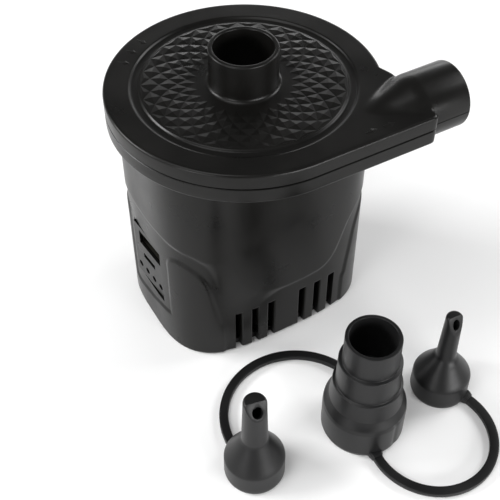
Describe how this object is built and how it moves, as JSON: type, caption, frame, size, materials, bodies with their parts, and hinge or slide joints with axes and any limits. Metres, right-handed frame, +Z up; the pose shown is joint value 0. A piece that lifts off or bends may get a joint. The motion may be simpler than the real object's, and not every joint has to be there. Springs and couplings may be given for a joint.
{
  "type": "electric air pump",
  "caption": "Cordless air mattress pump: round blower head with inlet collar and side spout, rounded body with ports, vents and rocker switch, and a tethered nozzle set.",
  "frame": {"origin": "underside of the base plate, on the axis of the impeller", "axes": "+Z up along the impeller axis, +X the way the outlet spout points, -Y the side with the cooling slots, -X the side with the charging ports, +Y the side with the switch"},
  "size_m": [0.0957, 0.1445, 0.0944],
  "materials": {
    "abs_shell": "fine satin moulding texture",
    "abs_inner": "satin",
    "rocker": "gloss",
    "soft_pvc": "matte soft vinyl",
    "zinc_steel": "zinc plated",
    "bronze": "sintered",
    "copper": "bare copper",
    "ferrite": "matte ceramic",
    "laminations": "stacked sheet",
    "nylon": "natural nylon",
    "cell_sleeve": "shrink sleeve",
    "nickel": "strip",
    "circuit_board": "solder mask",
    "chip": "moulded",
    "lens": "smoked",
    "wire_red": "insulation",
    "dull_plating": "dull plating",
    "wire_black": "insulation"
  },
  "bodies": {
    "pump": {"top_cover": "abs_shell", "main_housing": "abs_shell", "base_plate": "abs_shell", "port_panel": "abs_shell", "divider_plate": "abs_inner", "inlet_guard": "abs_inner", "cell_tray": "abs_inner", "switch_body": "abs_inner", "usb_a_tongue": "abs_inner", "cover_gasket": "soft_pvc", "motor_can": "zinc_steel", "base_screw_1": "zinc_steel", "base_screw_2": "zinc_steel", "base_screw_3": "zinc_steel", "base_screw_4": "zinc_steel", "cover_screw_1": "zinc_steel", "cover_screw_2": "zinc_steel", "cover_screw_3": "zinc_steel", "motor_screw_1": "zinc_steel", "motor_screw_2": "zinc_steel", "divider_screw_1": "zinc_steel", "divider_screw_2": "zinc_steel", "front_bearing": "bronze", "rear_bearing": "bronze", "motor_terminal_1": "copper", "motor_terminal_2": "copper", "field_magnet_1": "ferrite", "field_magnet_2": "ferrite", "boost_inductor": "ferrite", "motor_end_cap": "nylon", "battery_cell_1": "cell_sleeve", "battery_cell_2": "cell_sleeve", "cell_link": "nickel", "charger_board": "circuit_board", "charger_chip": "chip", "light_pipe_1": "lens", "light_pipe_2": "lens", "light_pipe_3": "lens", "light_pipe_4": "lens", "battery_wire_red": "wire_red", "motor_wire_red": "wire_red", "usb_a_shell": "dull_plating", "micro_usb_shell": "dull_plating", "battery_wire_black": "wire_black", "switch_wire": "wire_black"},
    "rotor": {"motor_shaft": "zinc_steel", "armature": "laminations", "commutator": "copper", "impeller": "nylon"},
    "rocker": {"switch_rocker": "rocker"},
    "nozzle_set": {"stepped_adapter": "soft_pvc", "valve_nozzle_left": "soft_pvc", "valve_nozzle_right": "soft_pvc", "tether_left": "soft_pvc", "tether_right": "soft_pvc"}
  },
  "joints": [
    {"name": "impeller_spin", "type": "hinge", "parent": "pump", "child": "rotor", "pos_m": [0, 0, 0.075], "axis": [0, 0, 1], "continuous": true},
    {"name": "switch_rock", "type": "hinge", "parent": "pump", "child": "rocker", "pos_m": [0, 0.0264, 0.045], "axis": [1, 0, 0], "range_deg": [-20, 0]},
    {"name": "nozzle_set_slide", "type": "slide", "parent": "pump", "child": "nozzle_set", "axis": [0, -1, 0], "range_m": [0, 0.06]}
  ]
}
